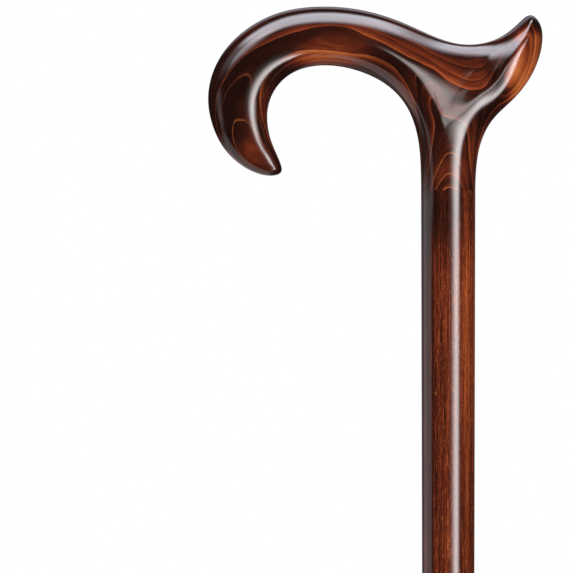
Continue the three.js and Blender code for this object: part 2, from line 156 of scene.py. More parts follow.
handleForm = {
    "dowelHole": 5.3 * millimetre,
    "dowelHoleDepth": 36.5 * millimetre,
    "drillPoint": 2.4 * millimetre,
    "ridgeSharpness": 2.5,
    "crestBlendShares": (0.25, 0.8),
    "stations": 300,
    "sectionSteps": 60,
    "edgeSteps": 420,
    "bendWeight": 7 * millimetre,
    "sharpAngle": math.radians(50),
    # how far out towards the hook's end, how high on the handle, how wide the edge is rolled, and how it
    # runs out: up the hook's inner side, round its tip, and over its outer side
    "insideShares": [
        (0.004, 0.181, 0.42, 2), (0.022, 0.325, 0.45, 2), (0.074, 0.471, 0.48, 2), (0.177, 0.589, 0.48, 2),
        (0.312, 0.659, 0.46, 2), (0.446, 0.683, 0.44, 2), (0.571, 0.66, 0.46, 2), (0.667, 0.584, 0.49, 2),
        (0.718, 0.468, 0.44, 2), (0.722, 0.36, 0.34, 2), (0.702, 0.262, 0.27, 2), (0.664, 0.158, 0.16, 2),
    ],
    "hookTipShares": (0.659, 0.104, 0.12, 2),
    "outsideShares": [
        (0.71, 0.084, 0.15, 2), (0.818, 0.121, 0.25, 2), (0.927, 0.232, 0.34, 2), (0.99, 0.39, 0.42, 2),
        (1, 0.55, 0.46, 2), (0.95, 0.718, 0.49, 2), (0.835, 0.866, 0.49, 2), (0.665, 0.968, 0.46, 2),
        (0.462, 1, 0.44, 2), (0.26, 0.976, 0.46, 2), (0.071, 0.906, 0.6, 2), (-0.089, 0.826, 0.74, 2),
    ],
    # the same towards the tail's end
    "tailTopShares": [(-0.079, 0.795, 0.74, 1.9), (0.353, 0.832, 0.5, 1.6), (0.651, 0.913, 0.3, 1.3)],
    "tailTipShares": (0.814, 0.953, 0.2, 1.15),
    "tailShares": [
        (0.948, 0.915, 0.36, 1.6), (0.999, 0.821, 0.52, 2), (0.889, 0.666, 0.6, 2), (0.606, 0.514, 0.66, 2),
        (0.278, 0.396, 0.7, 2), (0.092, 0.273, 0.52, 2), (0.021, 0.148, 0.43, 2),
    ],
    # where a section that starts on the outer outline ends on the inner one
    "sectionEndShares": [
        (0, 0), (0.047, 0.048), (0.129, 0.152), (0.22, 0.286), (0.326, 0.393), (0.469, 0.535), (0.58, 0.67),
        (0.65, 0.75), (0.71, 0.82), (0.80, 0.88), (0.87, 0.92), (0.93, 0.955), (1, 1),
    ],
    # half the thickness, as a share of the palm's, beside the inner outline and beside the outer one
    "innerCrestShares": [
        (0, 0.265), (0.05, 0.43), (0.1, 0.55), (0.17, 0.68), (0.27, 0.845), (0.38, 0.975), (0.46, 1.016),
        (0.54, 0.965), (0.62, 0.915), (0.75, 0.865),
    ],
    "outerCrestShares": [
        (0, 0.265), (0.05, 0.43), (0.1, 0.55), (0.17, 0.68), (0.27, 0.845), (0.38, 0.965), (0.46, 0.976),
        (0.54, 0.925), (0.62, 0.915), (0.68, 0.945), (0.74, 0.955), (0.82, 0.925), (0.88, 0.875),
    ],
    # the waist between palm and tail: depth, place beside the axis, reach towards palm and tail, lower fade
    "waistDepth": 3.5 * millimetre,
    "waistPlace": 11.5 * millimetre,
    "waistReach": (20 * millimetre, 8.5 * millimetre),
    "waistFadeShares": (0.33, 0.66),
    # the crease along the tail: its middle, how far from the tail's lower outline, depth, half width, reach
    "creasePlace": (13.4 * millimetre, 884.6 * millimetre),
    "creaseFromTail": 11 * millimetre,
    "creaseDepth": 0.8 * millimetre,
    "creaseWidth": 3.2 * millimetre,
    "creaseReach": 9 * millimetre,
}


def handleSurface(form):
    # Point (station, step): a chord runs from the inner outline to the outer one, cosine spaced. Its depth is
    # the crest's over the root of one plus the rolled edges' odds, where each edge alone leaves an ellipse
    low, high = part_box("derby_handle")
    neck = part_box("shaft")[1].x
    reach = {-1: -low.x, 1: high.x}
    palm = high.y - low.y

    def outlinePoint(side, share):
        out, up, roll, runOut = share
        return side * (neck + out * (reach[side] - neck)), up * (high.z - low.z), roll * palm, runOut

    points = np.array(
        [(-neck, 0, neck, 2)]
        + [outlinePoint(-1, share) for share in form["insideShares"]]
        + [outlinePoint(-1, form["hookTipShares"])]
        + [outlinePoint(-1, share) for share in form["outsideShares"]]
        + [outlinePoint(1, share) for share in form["tailTopShares"]]
        + [outlinePoint(1, form["tailTipShares"])]
        + [outlinePoint(1, share) for share in form["tailShares"]]
        + [(neck, 0, neck, 2)])
    hookTip = len(form["insideShares"]) + 1
    tailTip = hookTip + len(form["outsideShares"]) + len(form["tailTopShares"]) + 1
    chord = np.hypot(*np.diff(points[:, :2], axis=0).T)
    knots = np.concatenate([[0], np.cumsum(np.sqrt(chord))])
    up = np.array([0, 1, 0, 0.0])
    outline = smoothSpline(knots, points, up * math.sqrt(chord[0]), -up * math.sqrt(chord[-1]))

    def edge(first, last):
        return outline(np.linspace(knots[first], knots[last], form["edgeSteps"]))

    inside, top, tail = edge(hookTip, 0), edge(hookTip, tailTip), edge(tailTip, len(points) - 1)

    def along(samples):
        return np.concatenate([[0], np.cumsum(np.hypot(*np.diff(samples[:, :2], axis=0).T))])

    def at(samples, share):
        length = along(samples)
        columns = [np.interp(share * length[-1], length, column) for column in samples[:, :2].T]
        return np.stack(columns, axis=-1)

    outer = np.concatenate([top, tail[1:]])
    step = np.diff(outer[:, :2], axis=0)
    turn = np.abs(np.diff(np.unwrap(np.arctan2(step[:, 1], step[:, 0])), append=0.0))
    turn[-1] = 0
    weight = np.concatenate([[0], np.cumsum(np.hypot(*step.T) + form["bendWeight"] * turn)])
    outerLength = along(outer)
    target = weight[-1] * np.arange(1, form["stations"] + 1) / form["stations"]
    share = np.interp(target, weight, outerLength / outerLength[-1])

    to = at(outer, share)[:, None]
    start = at(inside, np.where(share < 1, tableCurve(form["sectionEndShares"])(share), 1))[:, None]
    ring = np.arange(2 * form["sectionSteps"]) * np.pi / form["sectionSteps"]
    across = ((1 - np.cos(ring)) / 2)[None, :, None]
    flat = start + (to - start) * across
    neckShare = [(1, neck / (palm / 2))]
    innerCrest = tableCurve(form["innerCrestShares"] + neckShare, True)(share)[:, None]
    outerCrest = tableCurve(form["outerCrestShares"] + neckShare, True)(share)[:, None]
    blend = smoothStep(*form["crestBlendShares"], across[..., 0])
    crest = palm / 2 * (innerCrest + (outerCrest - innerCrest) * blend)
    aside = flat[..., 0] - form["waistPlace"]
    reachShare = aside / np.where(aside < 0, *form["waistReach"])
    above = smoothStep(*form["waistFadeShares"], flat[..., 1] / (high.z - low.z))
    crest = crest - form["waistDepth"] * above * np.exp(-reachShare ** 2)

    odds = 0
    for samples in (inside, top, tail):
        drop, distance = edgeDrop(flat, samples)
        odds = odds + (drop / np.maximum(1 - drop, tiny)) ** form["ridgeSharpness"]
    away = np.linalg.norm(flat - np.subtract(form["creasePlace"], (0, low.z)), axis=-1) / form["creaseReach"]
    crease = np.tanh((distance - form["creaseFromTail"]) / form["creaseWidth"]) * np.exp(-away ** 2 / 2)
    fullness = 1 / np.sqrt(1 + odds ** (1 / form["ridgeSharpness"]))
    depth = fullness * (crest - form["creaseDepth"] * crease)
    depth[:, [0, form["sectionSteps"]]] = 0
    side = np.where(ring < np.pi, -1, 1)
    grid = np.stack([flat[..., 0], side * depth, flat[..., 1] + low.z], axis=-1)
    tip = (points[hookTip, 0], 0, points[hookTip, 1] + low.z)
    return grid, tip, low.z


def edgeDrop(flat, samples):
    # How much of the thickness a rolled edge takes away, one less distance over roll, to the power given
    # along the edge, and that distance
    start, run = samples[:-1, :2], np.diff(samples[:, :2], axis=0)
    lengthSquared = (run ** 2).sum(axis=1)
    drop, least = np.empty((2, *flat.shape[:2]))
    for row in range(len(flat)):
        away = flat[row][:, None] - start
        part = np.clip((away * run).sum(axis=-1) / lengthSquared, 0, 1)
        distance = np.hypot(*np.moveaxis(away - part[..., None] * run, -1, 0))
        nearest = distance.argmin(axis=1)
        pick = np.arange(len(nearest))
        mix = part[pick, nearest][:, None]
        roll, runOut = (samples[nearest, 2:] * (1 - mix) + samples[nearest + 1, 2:] * mix).T
        least[row] = distance[pick, nearest]
        drop[row] = (1 - np.minimum(1, least[row] / roll)) ** runOut
    return drop, least


def makeHandle(form):
    grid, tip, joint = handleSurface(form)
    neckRing = grid[-1]
    angle = np.arctan2(neckRing[:, 1], neckRing[:, 0])
    hole = np.stack([np.cos(angle), np.sin(angle)], axis=-1) * form["dowelHole"]
    wall = [np.column_stack([hole, np.full(len(hole), joint + up)]) for up in (0, form["dowelHoleDepth"])]
    drillTip = (0, 0, joint + form["dowelHoleDepth"] + form["drillPoint"])
    return skinMesh("carved_handle", np.concatenate([grid, wall]), tip, drillTip, form["sharpAngle"])


# The turned shaft

shaftForm = {
    "tipDiameter": 16 * millimetre,
    "tipChamfer": 0.8 * millimetre,
    "around": 96,
    "rows": 60,
    "sharpAngle": math.radians(35),
}


def shaftRadiusAt(height):
    # The taper: the tip's radius plus the height's share of what the top adds
    low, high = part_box("shaft")
    tip = shaftForm["tipDiameter"] / 2
    return tip + (high.x - tip) * (height - low.z) / (high.z - low.z)


def makeShaft(form):
    low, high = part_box("shaft")
    height = np.linspace(low.z + form["tipChamfer"], high.z, form["rows"])
    hole = handleForm["dowelHole"]
    holeFloor = high.z - handleForm["dowelHoleDepth"]
    profile = [(form["tipDiameter"] / 2 - form["tipChamfer"], low.z)]
    profile += [*zip(shaftRadiusAt(height), height), (hole, high.z), (hole, holeFloor)]
    grid = turnedGrid(profile, form["around"])
    drillTip = (0, 0, holeFloor - handleForm["drillPoint"])
    return skinMesh("turned_shaft", grid, (0, 0, low.z), drillTip, form["sharpAngle"])


# The fluted dowel inside the joint

dowelForm = {
    "chamfer": 1 * millimetre,
    "flutes": 12,
    "fluteDepth": 0.45 * millimetre,
    "fluteSharpness": 6,
    "around": 288,
    "rows": 12,
    "sharpAngle": math.radians(35),
}


def makeDowel(form):
    # The radius dips in each flute by a cosine raised to a power, and draws in at the chamfered ends
    low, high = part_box("joint_dowel")
    angle = np.linspace(0, 2 * np.pi, form["around"], endpoint=False)
    groove = form["fluteDepth"] * ((1 + np.cos(form["flutes"] * angle)) / 2) ** form["fluteSharpness"]
    inner = np.linspace(low.z + form["chamfer"], high.z - form["chamfer"], form["rows"])
    height = np.concatenate([[low.z], inner, [high.z]])[:, None]
    radius = high.x - np.where((height == low.z) | (height == high.z), form["chamfer"], 0)
    radius = radius - groove
    grid = np.stack([radius * np.cos(angle), radius * np.sin(angle), height + 0 * angle], axis=-1)
    return skinMesh("fluted_dowel", grid, (0, 0, low.z), (0, 0, high.z), form["sharpAngle"])


# The rubber ferrule and its washer

ferruleForm = {
    "floor": 7 * millimetre,
    "gap": 0.3 * millimetre,
    "wall": 3.3 * millimetre,
    "footHeight": 4.2 * millimetre,
    "footRound": 1.1 * millimetre,
    "flare": 7 * millimetre,
    "bead": 1 * millimetre,
    "beadHeight": 4.6 * millimetre,
    "mouthChamfer": 0.7 * millimetre,
    "ribs": 3,
    "ribPitch": 3.4 * millimetre,
    "ribWidth": 1.5 * millimetre,
    "ribHeight": 0.45 * millimetre,
    "treads": 3,
    "treadPitch": 3.5 * millimetre,
    "treadWidth": 1.5 * millimetre,
    "treadDepth": 1.4 * millimetre,
    "around": 128,
    "arcSteps": 10,
    "sharpAngle": math.radians(40),
}


def makeFerrule(form):
    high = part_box("ferrule")[1]
    steps = form["arcSteps"]
    wall = shaftRadiusAt(form["floor"]) + form["gap"] + form["wall"]
    foot, bead = high.x, wall + form["bead"]
    footRound, footHeight = form["footRound"], form["footHeight"]
    flareTop = footHeight + form["flare"]
    profile = []
    for tread in range(1, form["treads"] + 1):
        middle, half = form["treadPitch"] * tread, form["treadWidth"] / 2
        profile += [(middle - half, 0), (middle - half / 2, form["treadDepth"])]
        profile += [(middle + half / 2, form["treadDepth"]), (middle + half, 0)]
    profile += arcPoints((foot - footRound, 0), (foot, footRound), True, steps)
    profile += arcPoints((foot, footHeight - footRound), (foot - footRound, footHeight), False, steps)
    profile += arcPoints((foot - footRound, footHeight), (wall, flareTop), True, steps)[1:]
    for rib in range(form["ribs"]):
        bottom, width = flareTop + form["ribPitch"] * (rib + 0.5), form["ribWidth"]
        rise = np.linspace(0, np.pi, steps + 1)
        profile += [(wall + form["ribHeight"] * math.sin(t), bottom + width * t / np.pi) for t in rise]
    beadRadius = form["beadHeight"] / 2
    beadMiddle = high.z - beadRadius
    profile += arcPoints((wall, beadMiddle - beadRadius), (bead, beadMiddle), True, steps)
    profile += arcPoints((bead, beadMiddle), (bead - beadRadius, high.z), False, steps)[1:]
    mouth = shaftRadiusAt(high.z) + form["gap"]
    profile += [(mouth + form["mouthChamfer"], high.z), (mouth, high.z - form["mouthChamfer"])]
    profile += [(shaftRadiusAt(form["floor"]) + form["gap"], form["floor"])]
    grid = turnedGrid(profile, form["around"])
    return skinMesh("rubber_ferrule", grid, (0, 0, 0), (0, 0, form["floor"]), form["sharpAngle"])


washerForm = {
    "edgeRound": 0.25 * millimetre,
    "around": 96,
    "arcSteps": 5,
    "sharpAngle": math.radians(50),
}


def makeWasher(form):
    low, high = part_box("ferrule_washer")
    soft, steps = form["edgeRound"], form["arcSteps"]
    profile = arcPoints((high.x - soft, low.z), (high.x, low.z + soft), True, steps)
    profile += arcPoints((high.x, high.z - soft), (high.x - soft, high.z), False, steps)
    grid = turnedGrid(profile, form["around"])
    return skinMesh("steel_washer", grid, (0, 0, low.z), (0, 0, high.z), form["sharpAngle"])


# Finishes

def stain(red, green, blue):
    # A colour written as it shows on a screen, turned into the linear value that a shader takes
    share = np.array([red, green, blue]) / 255
    linear = np.where(share <= 0.04045, share / 12.92, ((share + 0.055) / 1.055) ** 2.4)
    return (*linear.tolist(), 1)


def newFinish(name):
    material = bpy.data.materials.new(name)
    material.use_nodes = True
    tree = material.node_tree
    return material, tree, tree.nodes["Principled BSDF"]


def put(tree, kind, sockets=None, **settings):
    # A new node, with its settings, and its sockets either linked or given a value
    node = tree.nodes.new(kind)
    for key, value in settings.items():
        setattr(node, key, value)
    for key, value in (sockets or {}).items():
        if isinstance(value, bpy.types.NodeSocket):
            tree.links.new(value, node.inputs[key])
        else:
            node.inputs[key].default_value = value
    return node


def maths(tree, operation, a, b=0.0, c=0.0):
    return put(tree, "ShaderNodeMath", {0: a, 1: b, 2: c}, operation=operation).outputs[0]


def vectorMaths(tree, operation, a, b, output="Vector"):
    return put(tree, "ShaderNodeVectorMath", {0: a, 1: b}, operation=operation).outputs[output]


def vectorLength(tree, vector):
    return put(tree, "ShaderNodeVectorMath", {0: vector}, operation="LENGTH").outputs["Value"]


def split(tree, vector):
    return put(tree, "ShaderNodeSeparateXYZ", {0: vector}).outputs


def objectPlace(tree):
    return put(tree, "ShaderNodeTexCoord").outputs["Object"]


def ramp(tree, factor, stops, ease="LINEAR"):
    # A colour by factor, from (factor, colour) stops
    node = put(tree, "ShaderNodeValToRGB", {0: factor})
    node.color_ramp.interpolation = ease
    elements = node.color_ramp.elements
    while len(elements) < len(stops):
        elements.new(0.5)
    for element, (factorAt, colour) in zip(elements, stops):
        element.position = factorAt
        element.color = colour
    return node.outputs


def spread(tree, value, low, high, toLow=0.0, toHigh=1.0):
    # A smooth step between two values
    sockets = {0: value, 1: low, 2: high, 3: toLow, 4: toHigh}
    return put(tree, "ShaderNodeMapRange", sockets, interpolation_type="SMOOTHSTEP").outputs[0]


def blendColour(tree, factor, a, b):
    return put(tree, "ShaderNodeMix", {0: factor, 6: a, 7: b}, data_type="RGBA").outputs[2]


def stretchedNoise(tree, place, scale, detail, roughness=0.5):
    # Noise with its own scale along each axis, in waves per metre
    moved = put(tree, "ShaderNodeMapping", {"Vector": place, "Scale": scale}).outputs[0]
    sockets = {"Vector": moved, "Scale": 1.0, "Detail": detail, "Roughness": roughness}
    return put(tree, "ShaderNodeTexNoise", sockets).outputs[0]


def noiseStep(tree, place, scale, detail, *steps):
    # Noise turned into a smooth step
    return spread(tree, stretchedNoise(tree, place, scale, detail), *steps)


def addNoises(tree, place, rows, value):
    # Each row of scale, detail and strength moves the value up and down about where it is
    for scale, detail, strength in rows:
        fromMiddle = maths(tree, "SUBTRACT", stretchedNoise(tree, place, scale, detail), 0.5)
        value = maths(tree, "MULTIPLY_ADD", fromMiddle, strength, value)
    return value


def tableNode(tree, value, points, straight=False):
    # A curve through (value, result) pairs, smooth or straight between them
    values, results = zip(*points)
    least, most = min(results), max(results)
    factor = put(tree, "ShaderNodeMapRange", {0: value, 1: values[0], 2: values[-1]}).outputs[0]
    node = put(tree, "ShaderNodeFloatCurve", {"Value": factor})
    curve = node.mapping.curves[0]
    places = [((v - values[0]) / (values[-1] - values[0]), (r - least) / (most - least)) for v, r in points]
    curve.points[0].location, curve.points[1].location = places[0], places[-1]
    for place in places[1:-1]:
        curve.points.new(*place)
    for point in curve.points:
        point.handle_type = "VECTOR" if straight else "AUTO"
    node.mapping.update()
    return put(tree, "ShaderNodeMapRange", {0: node.outputs[0], 3: least, 4: most}).outputs[0]


def raiseSurface(tree, socket, height, distance, strength=1.0):
    bump = put(tree, "ShaderNodeBump", {"Height": height, "Distance": distance, "Strength": strength})
    tree.links.new(bump.outputs[0], socket)


woodLook = {
    # from burnt by the stain to nearly bare
    "stains": [
        (0.0, stain(33, 12, 8)), (0.25, stain(58, 22, 13)), (0.5, stain(112, 45, 24)),
        (0.75, stain(182, 88, 43)), (1.0, stain(228, 128, 68)),
    ],
    "line": stain(215, 120, 66),
    "woodRoughness": 0.42,
    "coatRoughness": 0.09,
    "coatIor": 1.6,
    # the lacquer's brushed waves and the pores that it draws into: waves per metre along each axis, detail
    "waves": ((240, 240, 160), 1),
    "pores": ((1300, 1300, 500), 2),
    "poreShare": 0.25,
    "waveHeight": 0.012 * millimetre,
}


def lacquer(tree, bsdf, place):
    # Clear gloss over the stained wood, drawn in a little along the grain and brushed slightly wavy
    waves = stretchedNoise(tree, place, *woodLook["waves"])
    pores = stretchedNoise(tree, place, *woodLook["pores"])
    height = maths(tree, "MULTIPLY_ADD", pores, woodLook["poreShare"], waves)
    raiseSurface(tree, bsdf.inputs["Coat Normal"], height, woodLook["waveHeight"])
    bsdf.inputs["Roughness"].default_value = woodLook["woodRoughness"]
    bsdf.inputs["Specular IOR Level"].default_value = 0.0
    bsdf.inputs["Coat Weight"].default_value = 1.0
    bsdf.inputs["Coat Roughness"].default_value = woodLook["coatRoughness"]
    bsdf.inputs["Coat IOR"].default_value = woodLook["coatIor"]


handleFigure = {
    # the growth rings lie nearly along the handle's middle plane. They are tilted by some degrees and cross
    # it at a height
    "tilt": 12,
    "level": 870 * millimetre,
    # each ring: its far side in millimetres from that plane, the stain on its near and far side, and how
    # clear its line is
    "rings": [
        (-18, 0.05, 0.4, 0.3), (-15.6, 0.05, 0.4, 0.3), (-13.2, 0.1, 0.4, 0.3), (-11.5, 0.05, 0.35, 0.3),
        (-9.2, 0.1, 0.4, 0.3), (-7.1, 0.05, 0.4, 0.3), (-4.9, 0.1, 0.4, 0.3), (-3, 0.05, 0.35, 0.3),
        (-0.9, 0.1, 0.4, 0.2), (1.9, 0.15, 0.44, 0.45), (3.6, 0.3, 0.48, 0.2), (5, 0.32, 0.62, 0.9),
        (6.4, 0.2, 0.3, 0.5), (8.2, 0.05, 0.36, 0.6), (9.6, 0.26, 0.42, 0.9), (12.1, 0.12, 0.38, 0.8),
        (13.45, 0.28, 0.46, 0.9), (14.5, 0.3, 0.5, 0.8), (18, 0.3, 0.55, 0.5),
    ],
    # no ring is wider than this, in millimetres
    "widestRing": 4,
    # how the stain goes from a ring's near side to its far side
    "growth": [(0, 0), (0.12, 0.04), (0.5, 0.4), (0.8, 0.85), (1, 1)],
    # how far the rings swell along the handle: millimetres beside the axis, and the swelling
    "swelling": [
        (-90, 1), (-70, 1), (-52, 0.9), (-38, 0.5), (-29, -0.18), (-20, -0.3), (-10.5, -0.1), (-3, -0.25),
        (11.5, -0.06), (14.5, 0.45), (18.5, 1.2), (20, 1.9), (23, 2.8), (26, 3.2), (36, 3.6),
    ],
    # a knot's swelling under the palm: place, reach in millimetres, height, and over how many reaches it
    # fades
    "knotPlace": (-0.0066, 0, 0.881),
    "knotReach": (3.8, 20, 7.5),
    "knotSwelling": 2.4,
    "knotFade": 1.8,
    # the waves that the rings make, broad and fine: waves per metre along each axis, detail, millimetres
    "waves": [((35, 60, 60), 1, 1.0), ((300, 420, 420), 2, 0.14)],
    # streaks that follow the rings: waves per metre along and up, and per millimetre across, and their
    # strength
    "streakAlong": 60,
    "streakUp": 90,
    "streakAcross": 2.4,
    "streakDetail": 3,
    "streakStrength": 0.4,
    # broad clouds and fine flecks in the stain: waves per metre along each axis, detail, strength
    "grain": [((60, 110, 110), 2, 0.35), ((700, 2600, 2600), 1, 0.1)],
    # where the stain took lighter or darker, and painted shade in places: the hook's outer left rim is darker
    # wood and painted shade where less light falls, and the tail's face left of its ridge highlight is
    # painted shade. Millimetres beside the axis and above the floor, reach, change
    "patches": [
        (-48, 896.5, 20, 6, 0.3), (-70, 894, 16, 12, -0.3), (-88, 880, 12, 26, -0.4), (-75, 866, 9, 11, 0.08),
        (-24, 891, 14, 7, -0.15), (28, 896, 8, 17, 0.42), (-50, 912, 34, 7, -0.2), (8, 852, 6, 16, 0.1),
        (16, 877, 9, 7, -0.22), (6, 873, 8, 6, -0.05), (17, 893, 5, 9, -0.25), (24, 886, 6, 9, 0.36),
        (6, 886.5, 11, 4, 0.1), (-3, 888, 10, 5, 0.08), (8, 860, 4, 9, 0.1), (32, 910, 7, 6, -0.55),
        (-12, 872, 5, 14, -0.12), (0, 846, 14, 5, -0.1), (-10, 862, 3.5, 20, -0.2),
        (22.5, 899, 3.2, 9, -0.38), (25.5, 907, 3, 4, -0.35), (-80, 868, 6, 12, -0.1),
    ],
    # the rings' pale lines are faint, and clearer in places: the same measures, and how much clearer
    "faintLine": 0.17,
    "clearLines": [
        (-79, 866, 10, 15, 0.55), (-80, 886, 12, 9, 0.15), (-50, 900, 22, 4, 0.2), (-12, 894, 20, 6, 0.7),
        (6, 888, 11, 6, 0.5), (-2, 866, 7, 11, 0.65), (8, 864, 6, 9, 0.5), (0, 852, 14, 11, 0.8),
        (-11, 864, 5, 22, -0.3), (12, 884, 12, 7, -0.25),
    ],
    # a patch has faded out at the first share of its reach, and is whole within the second
    "patchFade": (1.3, 0.2),
    # the line fades in between these millimetres from the ring's far side, and is broken up by noise
    "lineFade": (0.119, 0.021),
    "lineBreaks": ((260, 420, 420), 1, 0.3, 0.62, 0.35, 1.0),
}


def ringDistance(tree, place, figure):
    # Millimetres across the rings, with the swellings of the grain and its waves
    tilt = math.radians(figure["tilt"])
    fromLevel = vectorMaths(tree, "SUBTRACT", place, (0, 0, figure["level"]))
    across = (0, -math.cos(tilt) / millimetre, -math.sin(tilt) / millimetre)
    plain = vectorMaths(tree, "DOT_PRODUCT", fromLevel, across, "Value")
    beside = maths(tree, "DIVIDE", split(tree, place)[0], millimetre)
    swelling = tableNode(tree, beside, figure["swelling"])
    fromKnot = vectorMaths(tree, "SUBTRACT", place, figure["knotPlace"])
    reaches = tuple(1 / (size * millimetre) for size in figure["knotReach"])
    away = vectorLength(tree, vectorMaths(tree, "MULTIPLY", fromKnot, reaches))
    knot = spread(tree, away, 0.0, figure["knotFade"], figure["knotSwelling"], 0.0)
    distance = maths(tree, "ADD", plain, maths(tree, "ADD", swelling, knot))
    return addNoises(tree, place, figure["waves"], distance)


def addPatches(tree, place, patches, fade, value):
    # Each patch adds its change in its middle and fades out past its reach
    for beside, up, wide, high, change in patches:
        fromMiddle = vectorMaths(tree, "SUBTRACT", place, (beside * millimetre, 0, up * millimetre))
        reaches = (1 / (wide * millimetre), 0, 1 / (high * millimetre))
        away = vectorLength(tree, vectorMaths(tree, "MULTIPLY", fromMiddle, reaches))
        value = maths(tree, "MULTIPLY_ADD", spread(tree, away, *fade), change, value)
    return value


def handleWood(figure):
    material, tree, bsdf = newFinish("handle_wood_finish")
    place = objectPlace(tree)
    distance = ringDistance(tree, place, figure)

    # which ring, and how far across it. A ring's width goes into the alpha as a share of the widest
    rings, widest = figure["rings"], figure["widestRing"]
    count = len(rings) - 1
    counted = tableNode(tree, distance, [(ring[0], i) for i, ring in enumerate(rings)], True)
    across = maths(tree, "FRACT", counted)
    number = maths(tree, "DIVIDE", maths(tree, "ADD", maths(tree, "FLOOR", counted), 0.5), count)
    stops = [(i / count, (*far[1:], (far[0] - near[0]) / widest))
             for i, (near, far) in enumerate(zip(rings, rings[1:]))]
    ringColour, ringAlpha = ramp(tree, number, stops, "CONSTANT")
    nearStain, farStain, lineShare = put(tree, "ShaderNodeSeparateColor", {0: ringColour}).outputs
    width = maths(tree, "MULTIPLY", ringAlpha, widest)

    # stain: between the ring's two sides, with streaks that follow the rings, grain, and patches of stain and
    # painted shade
    grown = tableNode(tree, across, figure["growth"])
    shade = put(tree, "ShaderNodeMix", {0: grown, 2: nearStain, 3: farStain}).outputs[0]
    parts = split(tree, place)
    streakPlace = put(tree, "ShaderNodeCombineXYZ", {
        0: maths(tree, "MULTIPLY", parts[0], figure["streakAlong"]),
        1: maths(tree, "MULTIPLY", distance, figure["streakAcross"]),
        2: maths(tree, "MULTIPLY", parts[2], figure["streakUp"]),
    }).outputs[0]
    streaks = ((1, 1, 1), figure["streakDetail"], figure["streakStrength"])
    shade = addNoises(tree, streakPlace, [streaks], shade)
    shade = addNoises(tree, place, figure["grain"], shade)
    shade = addPatches(tree, place, figure["patches"], figure["patchFade"], shade)
    colour = ramp(tree, shade, woodLook["stains"])[0]

    # the pale late-wood line at the ring's far side
    toEnd = maths(tree, "MULTIPLY", maths(tree, "SUBTRACT", 1.0, across), width)
    line = maths(tree, "MULTIPLY", spread(tree, toEnd, *figure["lineFade"]), lineShare)
    line = maths(tree, "MULTIPLY", line, noiseStep(tree, place, *figure["lineBreaks"]))
    clear = addPatches(tree, place, figure["clearLines"], figure["patchFade"], figure["faintLine"])
    line = maths(tree, "MULTIPLY", line, maths(tree, "MINIMUM", clear, 1.0))
    colour = blendColour(tree, line, colour, woodLook["line"])
    tree.links.new(colour, bsdf.inputs["Base Color"])
    lacquer(tree, bsdf, place)
    return material


shaftFigure = {
    "level": 845.9 * millimetre,
    # stain by millimetres beside the axis, with painted light: lighter on the right and painted shade on the
    # left; and how much darker it is by millimetres below the joint
    "stainAndLightAcross": [(-10, 0.16), (-7, 0.22), (-4.5, 0.4), (2, 0.43), (5, 0.56), (8, 0.6), (10, 0.48)],
    "scorch": [(0, 0.2), (7, 0.24), (13, 0.2), (22, 0.07), (34, 0)],
    "scorchBreaks": ((500, 500, 40), 2, 0.3, 0.65, 0.7, 1.15),
    # painted shade: the lit right side turns darker lower down, over which millimetres below the joint and
    # beside the axis, and by how much
    "lowerDepth": (55, 125),
    "lowerBeside": (2, 6),
    "lowerRightShade": 0.15,
    # straight grain, streaks, dashes and flecks: waves per metre along each axis, detail, strength
    "grain": [
        ((330, 330, 6), 2, 0.4), ((2300, 2300, 36), 2, 0.85), ((2800, 2800, 340), 2, 0.45),
        ((1600, 1600, 1500), 1, 0.3),
    ],
    # short bright fibres: scale, detail, noise from and to, how clear, and the stain that they show through
    "fibres": ((2600, 2600, 320), 1, 0.6, 0.74, 0.0, 0.35),
    "fibreStain": (0.25, 0.4),
}


def shaftWood(figure):
    material, tree, bsdf = newFinish("shaft_wood_finish")
    place = objectPlace(tree)
    parts = split(tree, place)
    beside = maths(tree, "DIVIDE", parts[0], millimetre)
    depth = maths(tree, "DIVIDE", maths(tree, "SUBTRACT", figure["level"], parts[2]), millimetre)

    # stain, with painted light by the side of the shaft: lighter on the right and shaded on the left;
    # scorched below the joint; painted shade on the right lower down
    shade = tableNode(tree, beside, figure["stainAndLightAcross"])
    scorch = tableNode(tree, depth, figure["scorch"])
    scorch = maths(tree, "MULTIPLY", scorch, noiseStep(tree, place, *figure["scorchBreaks"]))
    shade = maths(tree, "SUBTRACT", shade, scorch)
    lower = spread(tree, depth, *figure["lowerDepth"])
    lower = maths(tree, "MULTIPLY", lower, spread(tree, beside, *figure["lowerBeside"]))
    shade = maths(tree, "MULTIPLY_ADD", lower, -figure["lowerRightShade"], shade)

    fibres = noiseStep(tree, place, *figure["fibres"])
    fibres = maths(tree, "MULTIPLY", fibres, spread(tree, shade, *figure["fibreStain"]))
    shade = addNoises(tree, place, figure["grain"], shade)
    colour = blendColour(tree, fibres, ramp(tree, shade, woodLook["stains"])[0], woodLook["line"])
    tree.links.new(colour, bsdf.inputs["Base Color"])
    lacquer(tree, bsdf, place)
    return material


dowelLook = {
    "colours": [(0.2, stain(186, 140, 92)), (0.5, stain(212, 172, 122)), (0.8, stain(228, 194, 148))],
    "fleck": stain(140, 92, 56),
    "roughness": 0.62,
    # waves per metre along each axis, detail, and for the rays the noise from and to and how dark they are
    "bands": ((420, 420, 12), 2),
    "fibres": ((2600, 2600, 60), 2),
    "fibreShare": 0.7,
    "rays": ((2400, 2400, 420), 0, 0.64, 0.74, 0.0, 0.75),
    "grainHeight": 0.05 * millimetre,
    "grainStrength": 0.5,
}


